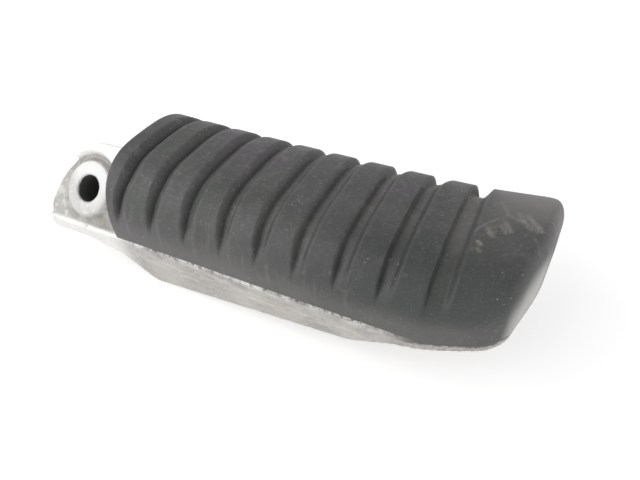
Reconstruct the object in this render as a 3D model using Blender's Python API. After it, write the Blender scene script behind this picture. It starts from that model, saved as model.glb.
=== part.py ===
# Motorcycle passenger footpeg: a die-cast aluminium footrest that carries a grooved rubber tread.
#
# The origin is the middle of the pivot bore. X runs along the peg towards its tip, Y across
# the tread and Z up through it. The pivot axis lies square to X and leans 45 degrees in Y and Z.
# Sizes are in metres, written as millimetres times MM.

import math

import bmesh
import bpy
import numpy as np
from mathutils import Matrix, Vector

MM = 0.001
GAP = 0.3 * MM                      # air left between two pieces that seat on each other
CLEAR = 1.0 * MM                    # how far a cutter runs past the surface it cuts

# Tread: plan and section
DECK_Z = -0.6 * MM                  # plane in which tread and casting meet, from the pivot centre
TREAD_START = 14.2 * MM             # inner end of the rubber, from the pivot centre
TREAD_NEAR = -15.4 * MM             # near edge of the tread, from the pivot centre
TREAD_WIDTH = 43.0 * MM
TREAD_CENTRE_Y = TREAD_NEAR + TREAD_WIDTH / 2.0
TREAD_LENGTH = 113.1 * MM           # to the far corner of the skewed tip
TIP_SKEW = 5.9 * MM                 # how much shorter the near side is than the far side
TIP_BULGE = 1.1 * MM                # how far the end line bows out in its middle
NEAR_TAPER_LENGTH = 24.5 * MM       # the near edge starts to run inwards this far before the tip
NEAR_TAPER = 6.9 * MM               # how far it has run in at the tip
NEAR_TAPER_RADIUS = 30.0 * MM
NEAR_TIP_RADIUS = 11.0 * MM
TIP_LINE_RADIUS = 60.0 * MM         # in the middle of the end line
FAR_TIP_RADIUS = 6.0 * MM
INNER_CORNER_RADIUS = 0.8 * MM
TIP_ROLL_NEAR = 5.0 * MM            # how far from the end the top rolls over, near side
TIP_ROLL_FAR = 2.2 * MM

CROWN_INNER = 22.7 * MM             # height of the crown over the deck at the inner end
CROWN_LOW = 16.4 * MM               # where the grooves end
CROWN_FALL = 1.4                    # above 1 makes the crown fall faster at the inner end
CROWN_LEVEL = 96.5 * MM             # length of that fall, from the inner end
PAD_RISE = 1.4 * MM                 # how far the crown rises again up to the tip
NEAR_SHOULDER_INNER = 0.2 * MM      # height at which the near wall starts to lean in
NEAR_SHOULDER_TIP = 5.0 * MM
FAR_SHOULDER_INNER = 7.4 * MM
FAR_SHOULDER_TIP = 10.5 * MM
NEAR_POWER_INNER = 0.67             # below 1 makes the arch boxier than an ellipse
NEAR_POWER_TIP = 0.70
FAR_POWER_INNER = 0.62
FAR_POWER_TIP = 0.50
RISE = 0.92                         # below 1 makes the arch rise faster than an ellipse
EDGE_ROUND = 1.2 * MM               # rounding of the inner end's edge
EDGE_TURNS = [0.0, 0.45, 1.0]       # rows over that rounding, as shares of a quarter turn

# Grooves: a steep wall on the inner side and a slope on the tip side
GROOVES = 9
GROOVE_PITCH = 10.5 * MM
FIRST_GROOVE = 6.65 * MM            # inner edge of the first groove, from the inner end
GROOVE_DEPTH_INNER = 3.0 * MM       # depth of the first groove
GROOVE_DEPTH_TIP = 3.4 * MM         # depth of the last groove
GROOVE_FLOOR = 2.2 * MM
GROOVE_STEEP_RUN = 0.9 * MM
GROOVE_SLOPE_RUN = 2.2 * MM
LAST_FLOOR = 4.0 * MM               # the last groove is wider, in front of the tip's pad
LAST_SLOPE_RUN = 0.9 * MM
GROOVE_LIP_INNER = 1.1 * MM         # rounding of the ridge's edges at the first groove
GROOVE_LIP_TIP = 0.5 * MM
GROOVE_REST = 0.85                  # share of a groove's width that is left where it has run out
WALL_REST = 0.3                     # share of the lip that a wall's rows keep between them there
STEEP_SHAPE = [(0.0, 0.0), (0.15, 0.16), (0.85, 0.84)]      # share of the run, share of the depth
SLOPE_SHAPE = [(0.22, 0.80), (0.85, 0.12)]
GROOVE_FADE_INNER = 7.2 * MM        # height at which a groove runs out, first groove
GROOVE_FADE_TIP = 8.4 * MM          # the same at the last groove
GROOVE_SPAN = 6.5 * MM              # height over which a groove reaches its depth
GROOVE_SPAN_FAR_TIP = 3.0 * MM      # the same on the far side of the last groove

# Insert plate and fastening under the rubber
PLATE_LENGTH = 78.0 * MM
PLATE_WIDTH = 27.0 * MM
PLATE_THICKNESS = 3.0 * MM
PLATE_INSET = 7.0 * MM              # from the rubber's inner end
PLATE_CORNER = 5.0 * MM
POCKET_CLEARANCE = 0.5 * MM
SCREW_INSET = 16.0 * MM             # first screw, from the rubber's inner end
SCREW_SPACING = 36.0 * MM
SCREWS = 2
THREAD_DIAMETER = 6.0 * MM
THREAD_CLEARANCE = 0.35 * MM        # around the shank, in the nut and in the holes
HEAD_FLATS = 10.0 * MM
HEAD_HEIGHT = 4.0 * MM
NUT_FLATS = 10.0 * MM
NUT_HEIGHT = 5.0 * MM
WASHER_DIAMETER = 12.0 * MM
WASHER_THICKNESS = 1.1 * MM
SPRING_WASHER_DIAMETER = 10.8 * MM
SPRING_WASHER_WIRE = 2.0 * MM
SPRING_WASHER_THICKNESS = 1.4 * MM
SPRING_WASHER_SPLIT = 1.0 * MM
SPLIT_SLANT = 0.35                  # sideways run of the split, per unit of height
HEX_FACE = 0.48                     # radius of the flat face on a head or nut, per unit across flats
HEX_CHAMFER = math.radians(30.0)
POINT_CHAMFER = 0.9 * MM            # at the end of a screw

# Casting: deck, walls and ribs
DECK_THICKNESS = 4.0 * MM
EDGE_DEPTH = 4.6 * MM               # side of the deck beside the lug
KEEL_DEPTH = 14.6 * MM              # deepest point of the side walls
KEEL_LEAD = -12.7 * MM              # where the deck's side starts to deepen, from the rubber
KEEL_START = -3.7 * MM              # inner end of the cells, from the rubber's inner end
KEEL_BREAK = -0.7 * MM              # where the steep drop starts
KEEL_BREAK_DROP = 2.6 * MM
KEEL_DEEPEST = 9.9 * MM             # where the walls are deepest
KEEL_SHALLOW = 9.2 * MM             # depth where the long taper ends
KEEL_TAPER_END = 73.3 * MM
KEEL_RISE = 12.0 * MM               # length of the rise behind it
RIM_DEPTH = 3.6 * MM                # rim round the tip
RIM_STEP = 0.6 * MM                 # the rim is this much deeper at the end of the rise
LEAD_RADIUS = 12.0 * MM
KEEL_FILLET = 5.0 * MM
WALL = 3.2 * MM
RIB = 2.4 * MM
CELL_FILLET = 2.0 * MM
CELL_ROOF = 3.4 * MM                # metal left over the cells
END_WALL = 4.0 * MM
CELLS = 4                           # in each of the two rows
SCREW_RECESS_DIAMETER = 14.0 * MM   # cleared through the ribs round each screw head
PAD_MARGIN = 0.8 * MM               # how far the screw's pad runs out past the recess
DECK_REACH = 14.1 * MM              # end of the deck on the lug's side, from the pivot centre
DECK_FAR_STEP = 5.7 * MM            # deck left beyond the rubber on the far side
LUG_DECK_HALF = 10.5 * MM           # far edge of the deck beside the lug, from the pivot centre
LUG_DECK_TAPER = 10.0 * MM          # how far that edge has run in at the deck's end
STEP_RADIUS = 7.0 * MM              # corners of the deck between the rubber and the lug
STEP_INNER_RADIUS = 6.0 * MM
STEP_RUN = 2.0 * MM
DECK_END_RADIUS = 5.0 * MM

# Pivot lug
LEAN = math.radians(45.0)           # pivot axis above the horizontal
LUG_SPAN = 22.0 * MM                # between the two boss faces
BORE_DIAMETER = 8.0 * MM
BOSS_DIAMETER = 16.6 * MM
BOSS_FOOT_DIAMETER = 18.4 * MM
BOSS_HEIGHT = 1.5 * MM
NOSE_REACH = 15.0 * MM              # from the bore axis to the inner end of the lug
LUG_TOP = 14.3 * MM                 # from the bore axis to the top of the lug, along its lean
LUG_BOTTOM = 11.5 * MM
NOSE_RADIUS_TOP = 19.0 * MM
NOSE_RADIUS_BOTTOM = 5.0 * MM
SHOULDER_RISE = 1.9 * MM            # shoulder over the face that carries the boss
SHOULDER_INNER_DIAMETER = 20.4 * MM
SHOULDER_OUTER_DIAMETER = 23.0 * MM
SHOULDER_SLOPE = 0.35               # fall of the shoulder's end line towards the rubber
LUG_EDGE_RADIUS = 0.5 * MM

# Fineness of the meshes
ROUND_STEPS = 32
TREAD_OUTLINE_STEPS = 48
CASTING_OUTLINE_STEPS = 48
SIDE_VIEW_STEPS = 40
LUG_STEPS = 40
PLATE_STEPS = 24
CELL_STEPS = 16
SECTION_STEPS = 26
TIP_FLAT_ROWS = 4
TIP_ROLL_ROWS = 5


def ramp(value, low, high):
    """Smooth step from 0 at low to 1 at high."""
    part = np.clip((value - low) / (high - low), 0.0, 1.0)
    return part * part * (3.0 - 2.0 * part)


def between(first, last, part):
    return first + (last - first) * part


def rounded_outline(corners, steps):
    """Closed outline through corners given as (x, y, radius), with the middle point of each arc."""
    points = []
    middles = []
    count = len(corners)
    for index, (x, y, radius) in enumerate(corners):
        corner = np.array([x, y])
        before = np.array(corners[index - 1][:2]) - corner
        after = np.array(corners[(index + 1) % count][:2]) - corner
        before = before / np.linalg.norm(before)
        after = after / np.linalg.norm(after)
        half = math.acos(np.clip(np.dot(before, after), -1.0, 1.0)) / 2.0
        reach = radius / math.tan(half)
        start = corner + before * reach
        end = corner + after * reach
        middle_line = before + after
        centre = corner + middle_line / np.linalg.norm(middle_line) * radius / math.sin(half)
        first = math.atan2(start[1] - centre[1], start[0] - centre[0])
        turn = math.atan2(end[1] - centre[1], end[0] - centre[0]) - first
        turn = (turn + math.pi) % (2.0 * math.pi) - math.pi
        arc_steps = max(2, 2 * int(steps * abs(turn) / (2.0 * math.pi) + 0.5))
        middles.append(len(points) + arc_steps // 2)
        for step in range(arc_steps + 1):
            angle = first + turn * step / arc_steps
            points.append(centre + radius * np.array([math.cos(angle), math.sin(angle)]))
    return np.array(points), middles


def along(points, shares):
    """The polyline's points at the given shares of its length."""
    lengths = np.concatenate([[0.0], np.cumsum(np.linalg.norm(np.diff(points, axis=0), axis=1))])
    wanted = shares * lengths[-1]
    return np.stack([np.interp(wanted, lengths, points[:, axis]) for axis in range(2)], axis=-1)


def tread_corners(inner_end, far_radius):
    """Corners of the tread in plan, from the near inner corner round the tip."""
    near = TREAD_NEAR
    far = TREAD_NEAR + TREAD_WIDTH
    tip = TREAD_START + TREAD_LENGTH
    near_tip = near + NEAR_TAPER
    middle_y = (near_tip + far) / 2.0
    middle_x = tip - TIP_SKEW / 2.0 + TIP_BULGE
    return [
        (inner_end, near, INNER_CORNER_RADIUS),
        (tip - NEAR_TAPER_LENGTH, near, NEAR_TAPER_RADIUS),
        (tip - TIP_SKEW, near_tip, NEAR_TIP_RADIUS),
        (middle_x, middle_y, TIP_LINE_RADIUS),
        (tip, far, FAR_TIP_RADIUS),
        (inner_end, far, far_radius),
    ]


def collection_object(name, mesh_data):
    made = bpy.data.objects.new(name, mesh_data)
    bpy.context.scene.collection.objects.link(made)
    return made


def finish_mesh(name, bm):
    """Turn a bmesh into an object whose faces point outwards."""
    bmesh.ops.recalc_face_normals(bm, faces=bm.faces)
    mesh_data = bpy.data.meshes.new(name)
    bm.to_mesh(mesh_data)
    bm.free()
    return collection_object(name, mesh_data)


def prism(name, outline, low, high):
    """Straight prism over a plan outline, from height low to height high."""
    bm = bmesh.new()
    bottom = [bm.verts.new((x, y, low)) for x, y in outline]
    top = [bm.verts.new((x, y, high)) for x, y in outline]
    bm.faces.new(bottom)
    bm.faces.new(top)
    for index in range(len(outline)):
        after = (index + 1) % len(outline)
        bm.faces.new((bottom[index], bottom[after], top[after], top[index]))
    return finish_mesh(name, bm)


def turned(name, profile, steps=ROUND_STEPS):
    """Solid of revolution about Z; profile is (radius, height) from the lower to the upper end."""
    bm = bmesh.new()
    rings = []
    for radius, height in profile:
        ring = []
        for step in range(steps):
            angle = 2.0 * math.pi * (step + 0.5) / steps
            ring.append(bm.verts.new((radius * math.cos(angle), radius * math.sin(angle), height)))
        rings.append(ring)
    for lower, upper in zip(rings[:-1], rings[1:]):
        for step in range(steps):
            after = (step + 1) % steps
            bm.faces.new((lower[step], lower[after], upper[after], upper[step]))
    bm.faces.new(rings[0])
    bm.faces.new(rings[-1])
    return finish_mesh(name, bm)


def hexagon(across_flats):
    radius = across_flats / math.sqrt(3.0)
    return [(radius * math.cos(math.radians(60.0 * side)), radius * math.sin(math.radians(60.0 * side)))
            for side in range(6)]


def place(made, matrix):
    made.data.transform(matrix)
    made.data.update()
    return made


def combine(target, tool, operation):
    """Boolean of target with tool, applied, after which the tool is gone."""
    modifier = target.modifiers.new(operation.lower(), 'BOOLEAN')
    modifier.operation = operation
    modifier.solver = 'EXACT'
    modifier.object = tool
    depsgraph = bpy.context.evaluated_depsgraph_get()
    result = bpy.data.meshes.new_from_object(target.evaluated_get(depsgraph))
    target.modifiers.remove(modifier)
    old = target.data
    target.data = result
    bpy.data.meshes.remove(old)
    tool_mesh = tool.data
    bpy.data.objects.remove(tool)
    bpy.data.meshes.remove(tool_mesh)
    return target


def smooth_rounds(made, limit=32.0):
    made.data.shade_smooth()
    made.data.set_sharp_from_angle(angle=math.radians(limit))


def material(name, colour, roughness, metallic):
    made = bpy.data.materials.new(name)
    made.use_nodes = True
    shader = made.node_tree.nodes['Principled BSDF']
    shader.inputs['Base Color'].default_value = (*colour, 1.0)
    shader.inputs['Roughness'].default_value = roughness
    shader.inputs['Metallic'].default_value = metallic
    return made


def lug_matrix():
    """Carries a shape from the bore's own frame to the peg: its X stays X, its Z becomes the pivot axis."""
    along_x = Vector((1.0, 0.0, 0.0))
    axis = Vector((0.0, -math.cos(LEAN), math.sin(LEAN)))
    up_slope = axis.cross(along_x)
    rows = [(along_x[row], up_slope[row], axis[row]) for row in range(3)]
    return Matrix(rows).to_4x4()


def screw_places():
    first = TREAD_START + SCREW_INSET
    return [(first + index * SCREW_SPACING, TREAD_CENTRE_Y) for index in range(SCREWS)]


# Rubber tread

def tread_section(x):
    """Heights and Y of the ungrooved arch at x, from the near shoulder over the crown to the far one."""
    part = min(max((x - TREAD_START) / TREAD_LENGTH, 0.0), 1.0)
    left = 1.0 - min(max((x - TREAD_START) / CROWN_LEVEL, 0.0), 1.0)
    past = min(max((x - TREAD_START - CROWN_LEVEL) / (TREAD_LENGTH - CROWN_LEVEL), 0.0), 1.0)
    crown = between(CROWN_LOW, CROWN_INNER, left ** CROWN_FALL) + past * PAD_RISE
    turn = np.linspace(0.0, math.pi, SECTION_STEPS + 1)
    near_side = turn <= math.pi / 2.0
    shoulder = np.where(near_side, between(NEAR_SHOULDER_INNER, NEAR_SHOULDER_TIP, part),
                        between(FAR_SHOULDER_INNER, FAR_SHOULDER_TIP, part))
    power = np.where(near_side, between(NEAR_POWER_INNER, NEAR_POWER_TIP, part),
                     between(FAR_POWER_INNER, FAR_POWER_TIP, part))
    side = np.sign(np.cos(turn)) * np.abs(np.cos(turn)) ** power
    height = shoulder + (crown - shoulder) * np.sin(turn).clip(0.0) ** RISE
    return side, height


def groove_stations():
    """Each station is (x of the groove, shift, shift per full depth, share of the depth, groove index)."""
    rows = []
    for index in range(GROOVES):
        last = index == GROOVES - 1
        width = LAST_FLOOR if last else GROOVE_FLOOR
        slope_run = LAST_SLOPE_RUN if last else GROOVE_SLOPE_RUN
        lip = between(GROOVE_LIP_INNER, GROOVE_LIP_TIP, index / (GROOVES - 1))
        floor = TREAD_START + FIRST_GROOVE + index * GROOVE_PITCH + GROOVE_STEEP_RUN
        for run, depth in STEEP_SHAPE:
            shift = -lip if depth == 0.0 else (run - 1.0) * WALL_REST * lip
            rows.append((floor, shift, (run - 1.0) * GROOVE_STEEP_RUN, depth, index))
        rows.append((floor, lip / 2.0, 0.0, 1.0, index))
        rows.append((floor, width - lip, 0.0, 1.0, index))
        for run, depth in SLOPE_SHAPE:
            rows.append((floor, width + (run - 0.5) * WALL_REST * lip, run * slope_run, depth, index))
        rows.append((floor, width + lip, slope_run, 0.0, index))
    return rows


def near_edge(x, outline, corner):
    """Y of the near edge of the plan outline at x, up to the middle of the near tip corner."""
    return np.interp(x, outline[:corner + 1, 0], outline[:corner + 1, 1])


def tread_surface():
    """Grid of points over the arch: rows along X, columns from the near wall to the far wall."""
    outline, middles = rounded_outline(tread_corners(TREAD_START, INNER_CORNER_RADIUS), TREAD_OUTLINE_STEPS)
    near_corner = middles[2]
    far_corner = middles[4]
    far = TREAD_NEAR + TREAD_WIDTH
    last = groove_stations()[-1]
    tip_start = last[0] + last[1] + last[2] + GROOVE_LIP_TIP
    rows = []

    def straight_row(x_of_column, section_x, depth):
        side, height = tread_section(section_x)
        near = near_edge(x_of_column, outline, near_corner)
        y = (near + far) / 2.0 - side * (far - near) / 2.0
        slope_y = np.gradient(y)
        slope_z = np.gradient(height)
        length = np.hypot(slope_y, slope_z)
        y = y + depth * slope_z / length
        z = height - depth * slope_y / length
        return np.stack([x_of_column, y, DECK_Z + GAP / 2.0 + z], axis=-1)

    columns = SECTION_STEPS + 1
    near_half = np.arange(columns) <= SECTION_STEPS // 2
    none = np.zeros(columns)
    for turn in EDGE_TURNS:
        run = EDGE_ROUND * (1.0 - math.cos(turn * math.pi / 2.0))
        inset = EDGE_ROUND * (1.0 - math.sin(turn * math.pi / 2.0))
        rows.append(straight_row(np.full(columns, TREAD_START + run), TREAD_START, none + inset))
    for x, shift, shift_per_depth, share, index in groove_stations():
        part = index / (GROOVES - 1)
        fade = between(GROOVE_FADE_INNER, GROOVE_FADE_TIP, part)
        span = np.where(near_half, GROOVE_SPAN, between(GROOVE_SPAN, GROOVE_SPAN_FAR_TIP, part))
        depth = between(GROOVE_DEPTH_INNER, GROOVE_DEPTH_TIP, part)
        height = tread_section(x)[1]
        fade = np.maximum(fade, np.where(near_half, height[0], height[-1]))
        local = ramp(height, fade, fade + span)
        shifted = x + shift * between(GROOVE_REST, 1.0, local) + shift_per_depth * local
        rows.append(straight_row(shifted, x, depth * local * share))

    rows += tip_rows(outline, near_corner, far_corner, tip_start)
    return np.array(rows)


def tip_rows(outline, near_corner, far_corner, tip_start):
    """Rows from the last groove to the skewed end: a patch between four plan curves, rolled at the end."""
    far = TREAD_NEAR + TREAD_WIDTH
    near_line = outline[:near_corner + 1]
    near_line = near_line[near_line[:, 0] > tip_start]
    near_line = np.vstack([[tip_start, near_edge(tip_start, outline, near_corner)], near_line])
    end_line = outline[near_corner:far_corner + 1]
    far_line = np.vstack([[tip_start, far], outline[far_corner:][::-1]])
    far_line = far_line[far_line[:, 0] >= tip_start]
    far_line = far_line[np.argsort(far_line[:, 0], kind='stable')]
    patch_length = near_line[-1, 0] - tip_start
    steps = [(step / TIP_FLAT_ROWS, 0.0) for step in range(1, TIP_FLAT_ROWS + 1)]
    steps += [(1.0, math.sin(math.pi / 2.0 * step / TIP_ROLL_ROWS)) for step in range(1, TIP_ROLL_ROWS + 1)]
    rows = []
    for flat_share, rolled in steps:
        side, height = tread_section(tip_start + flat_share * patch_length)
        across = (1.0 - side) / 2.0
        flat = 1.0 - between(TIP_ROLL_NEAR, TIP_ROLL_FAR, across) / patch_length
        share = (flat * flat_share + (1.0 - flat) * rolled)[:, None]
        start = np.stack([np.full_like(across, tip_start),
                          near_line[0, 1] + across * (far - near_line[0, 1])], axis=-1)
        end = along(end_line, across)
        blend = across[:, None]
        plan = between(along(near_line, share[:, 0]), along(far_line, share[:, 0]), blend)
        plan += between(start, end, share)
        plan -= between(between(near_line[0], far_line[0], blend),
                        between(end_line[0], end_line[-1], blend), share)
        keep = math.sqrt(max(0.0, 1.0 - rolled * rolled))
        shoulder = between(height[0], height[-1], across)
        z = DECK_Z + GAP / 2.0 + between(shoulder, height, keep)
        rows.append(np.column_stack([plan, z]))
    return rows


def build_tread():
    grid = tread_surface()
    low = DECK_Z + GAP / 2.0
    bm = bmesh.new()
    verts = [[bm.verts.new(point) for point in row] for row in grid]
    for lower, upper in zip(verts[:-1], verts[1:]):
        for column in range(len(lower) - 1):
            bm.faces.new((lower[column], upper[column], upper[column + 1], lower[column + 1]))
    rim = [row[0] for row in verts] + verts[-1][1:-1] + [row[-1] for row in reversed(verts)]
    foot = [bm.verts.new((vert.co.x, vert.co.y, low)) for vert in rim]
    for index in range(len(rim) - 1):
        bm.faces.new((rim[index], foot[index], foot[index + 1], rim[index + 1]))
    bm.faces.new([foot[-1], foot[0]] + verts[0])
    bm.faces.new(foot)
    tread = finish_mesh('tread_rubber', bm)

    plate_top = low + PLATE_THICKNESS
    pocket = prism('pocket', plate_outline(POCKET_CLEARANCE), low - CLEAR, plate_top + GAP)
    combine(tread, pocket, 'DIFFERENCE')
    nut_radius = NUT_FLATS / math.sqrt(3.0) + POCKET_CLEARANCE
    nut_top = plate_top + GAP + NUT_HEIGHT
    for x, y in screw_places():
        relief = turned('relief', [(nut_radius, plate_top), (nut_radius, nut_top + GAP)])
        place(relief, Matrix.Translation((x, y, 0.0)))
        combine(tread, relief, 'DIFFERENCE')
    smooth_rounds(tread)
    return tread


# Insert plate, nuts and screws

def plate_outline(grow):
    start = TREAD_START + PLATE_INSET - grow
    end = TREAD_START + PLATE_INSET + PLATE_LENGTH + grow
    near = TREAD_CENTRE_Y - PLATE_WIDTH / 2.0 - grow
    far = TREAD_CENTRE_Y + PLATE_WIDTH / 2.0 + grow
    radius = PLATE_CORNER + grow
    corners = [(start, near, radius), (end, near, radius), (end, far, radius), (start, far, radius)]
    return rounded_outline(corners, PLATE_STEPS)[0]


def build_plate():
    low = DECK_Z + GAP / 2.0
    plate = prism('insert_plate', plate_outline(0.0), low, low + PLATE_THICKNESS)
    hole = THREAD_DIAMETER / 2.0 + THREAD_CLEARANCE
    for x, y in screw_places():
        drill = turned('drill', [(hole, low - CLEAR), (hole, low + PLATE_THICKNESS + CLEAR)])
        place(drill, Matrix.Translation((x, y, 0.0)))
        combine(plate, drill, 'DIFFERENCE')
    smooth_rounds(plate)
    return plate


def chamfered_hexagon(name, across_flats, height):
    """Hexagon prism standing at z = 0, its lower corners turned off round a flat face."""
    body = prism(name, hexagon(across_flats), 0.0, height)
    face = HEX_FACE * across_flats
    wide = across_flats
    rise = (wide - face) * math.tan(HEX_CHAMFER)
    cone = turned('cone', [(face, 0.0), (wide, rise), (wide, height + CLEAR)])
    return combine(body, cone, 'INTERSECT')


def build_nut(name):
    nut = chamfered_hexagon(name, NUT_FLATS, NUT_HEIGHT)
    place(nut, Matrix.Translation((0.0, 0.0, NUT_HEIGHT)) @ Matrix.Rotation(math.pi, 4, 'X'))
    bore = THREAD_DIAMETER / 2.0 + THREAD_CLEARANCE
    drill = turned('drill', [(bore, -CLEAR), (bore, NUT_HEIGHT + CLEAR)])
    combine(nut, drill, 'DIFFERENCE')
    smooth_rounds(nut)
    return nut


def build_screw(name, length):
    """Hexagon screw with its head's top at z = 0 and its shank pointing up."""
    screw = chamfered_hexagon(name, HEAD_FLATS, HEAD_HEIGHT)
    radius = THREAD_DIAMETER / 2.0
    end = HEAD_HEIGHT + length
    shank = turned('shank', [(radius, HEAD_HEIGHT - CLEAR), (radius, end - POINT_CHAMFER),
                             (radius - POINT_CHAMFER, end)])
    combine(screw, shank, 'UNION')
    smooth_rounds(screw)
    return screw


def build_washer(name):
    bore = THREAD_DIAMETER / 2.0 + THREAD_CLEARANCE
    washer = turned(name, [(WASHER_DIAMETER / 2.0, 0.0), (WASHER_DIAMETER / 2.0, WASHER_THICKNESS)])
    drill = turned('drill', [(bore, -CLEAR), (bore, WASHER_THICKNESS + CLEAR)])
    combine(washer, drill, 'DIFFERENCE')
    smooth_rounds(washer)
    return washer


def build_spring_washer(name):
    """Split ring of square wire, its two ends set a little apart."""
    outer = SPRING_WASHER_DIAMETER / 2.0
    inner = outer - SPRING_WASHER_WIRE
    ring = turned(name, [(outer, 0.0), (outer, SPRING_WASHER_THICKNESS)])
    drill = turned('drill', [(inner, -CLEAR), (inner, SPRING_WASHER_THICKNESS + CLEAR)])
    combine(ring, drill, 'DIFFERENCE')
    half = SPRING_WASHER_SPLIT / 2.0
    reach = outer + CLEAR
    slit = prism('slit', [(0.0, -half), (reach, -half), (reach, half), (0.0, half)],
                 -CLEAR, SPRING_WASHER_THICKNESS + CLEAR)
    place(slit, Matrix(((1.0, 0.0, 0.0, 0.0), (0.0, 1.0, SPLIT_SLANT, 0.0),
                        (0.0, 0.0, 1.0, 0.0), (0.0, 0.0, 0.0, 1.0))))
    combine(ring, slit, 'DIFFERENCE')
    smooth_rounds(ring)
    return ring


def build_fasteners():
    """Two nuts on the plate, and below the deck two screws with their washers."""
    seat = DECK_Z - GAP / 2.0 - DECK_THICKNESS
    washer_low = seat - GAP - WASHER_THICKNESS
    spring_low = washer_low - GAP - SPRING_WASHER_THICKNESS
    head_low = spring_low - GAP - HEAD_HEIGHT
    nut_low = DECK_Z + GAP / 2.0 + PLATE_THICKNESS + GAP
    length = nut_low + NUT_HEIGHT - (head_low + HEAD_HEIGHT)
    made = []
    for index, (x, y) in enumerate(screw_places()):
        name = ('inner', 'outer')[index]
        parts = [
            (build_nut('weld_nut_' + name), nut_low),
            (build_screw('tread_screw_' + name, length), head_low),
            (build_washer('flat_washer_' + name), washer_low),
            (build_spring_washer('spring_washer_' + name), spring_low),
        ]
        for piece, height in parts:
            place(piece, Matrix.Translation((x, y, height)))
            made.append(piece)
    return made


# Casting

def keel_profile():
    """Side view of the deck and its walls: (x, z, radius) from the top at the lug's end, going round."""
    top = DECK_Z - GAP / 2.0
    start = -DECK_REACH - 5.0 * CLEAR
    tip = TREAD_START + TREAD_LENGTH + 5.0 * CLEAR
    inner = TREAD_START
    return [
        (start, top, CLEAR),
        (start, top - EDGE_DEPTH, CLEAR),
        (inner + KEEL_LEAD, top - EDGE_DEPTH, LEAD_RADIUS),
        (inner + KEEL_BREAK, top - EDGE_DEPTH - KEEL_BREAK_DROP, KEEL_FILLET),
        (inner + KEEL_DEEPEST, top - KEEL_DEPTH, KEEL_FILLET),
        (inner + KEEL_TAPER_END, top - KEEL_SHALLOW, 2.0 * KEEL_FILLET),
        (inner + KEEL_TAPER_END + KEEL_RISE, top - RIM_DEPTH - RIM_STEP, KEEL_FILLET),
        (tip, top - RIM_DEPTH, CLEAR),
        (tip, top, CLEAR),
    ]


def casting_corners():
    """Corners of the deck in plan: round the tread's edge, then back past the lug's far side."""
    corners = tread_corners(-DECK_REACH, INNER_CORNER_RADIUS)[:5]
    far = TREAD_NEAR + TREAD_WIDTH
    step = TREAD_START - DECK_FAR_STEP
    corners += [
        (step, far, STEP_RADIUS),
        (step - STEP_RUN, LUG_DECK_HALF, STEP_INNER_RADIUS),
        (-DECK_REACH, LUG_DECK_HALF - LUG_DECK_TAPER, DECK_END_RADIUS),
    ]
    return corners


def cell_boxes():
    """Cells in the underside: (x range, y range) in two rows beside the middle rib."""
    near = TREAD_NEAR + WALL
    far = TREAD_NEAR + TREAD_WIDTH - WALL
    start = TREAD_START + KEEL_START + END_WALL
    end = TREAD_START + KEEL_TAPER_END + KEEL_RISE
    pitch = (end - start + RIB) / CELLS
    boxes = []
    for index in range(CELLS):
        low = start + index * pitch
        high = low + pitch - RIB
        boxes.append((low, high, near, TREAD_CENTRE_Y - RIB / 2.0))
        boxes.append((low, high, TREAD_CENTRE_Y + RIB / 2.0, far))
    return boxes


def build_lug():
    """The leaning eye: a rounded block on the pivot axis with a shoulder and a boss on each side."""
    face = LUG_SPAN / 2.0 - BOSS_HEIGHT
    right = TREAD_START - GAP
    corners = [
        (-NOSE_REACH, -LUG_BOTTOM, NOSE_RADIUS_BOTTOM),
        (right, -LUG_BOTTOM, LUG_EDGE_RADIUS),
        (right, LUG_TOP, LUG_EDGE_RADIUS),
        (-NOSE_REACH, LUG_TOP, NOSE_RADIUS_TOP),
    ]
    outline = rounded_outline(corners, LUG_STEPS)[0]
    lug = prism('lug', outline, -face, face + SHOULDER_RISE)
    cut_low = face
    cut_high = face + SHOULDER_RISE + CLEAR
    spread = (SHOULDER_OUTER_DIAMETER - SHOULDER_INNER_DIAMETER) / 2.0 / SHOULDER_RISE
    inner = SHOULDER_INNER_DIAMETER / 2.0
    spotface = turned('spotface', [(inner, cut_low), (inner + spread * (cut_high - cut_low), cut_high)])
    combine(lug, spotface, 'DIFFERENCE')
    reach = 2.0 * LUG_SPAN
    fall = reach * SHOULDER_SLOPE
    lower_side = [(-reach, -reach), (reach, -reach), (reach, -fall), (0.0, 0.0), (-reach, reach)]
    step = prism('step', lower_side, cut_low, cut_high)
    combine(lug, step, 'DIFFERENCE')
    for side in (-1.0, 1.0):
        foot = BOSS_FOOT_DIAMETER / 2.0
        boss = turned('boss', [(foot, 0.0), (foot, face), (BOSS_DIAMETER / 2.0, face + BOSS_HEIGHT)])
        if side < 0.0:
            place(boss, Matrix.Rotation(math.pi, 4, 'X'))
        combine(lug, boss, 'UNION')
    return place(lug, lug_matrix())


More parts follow.
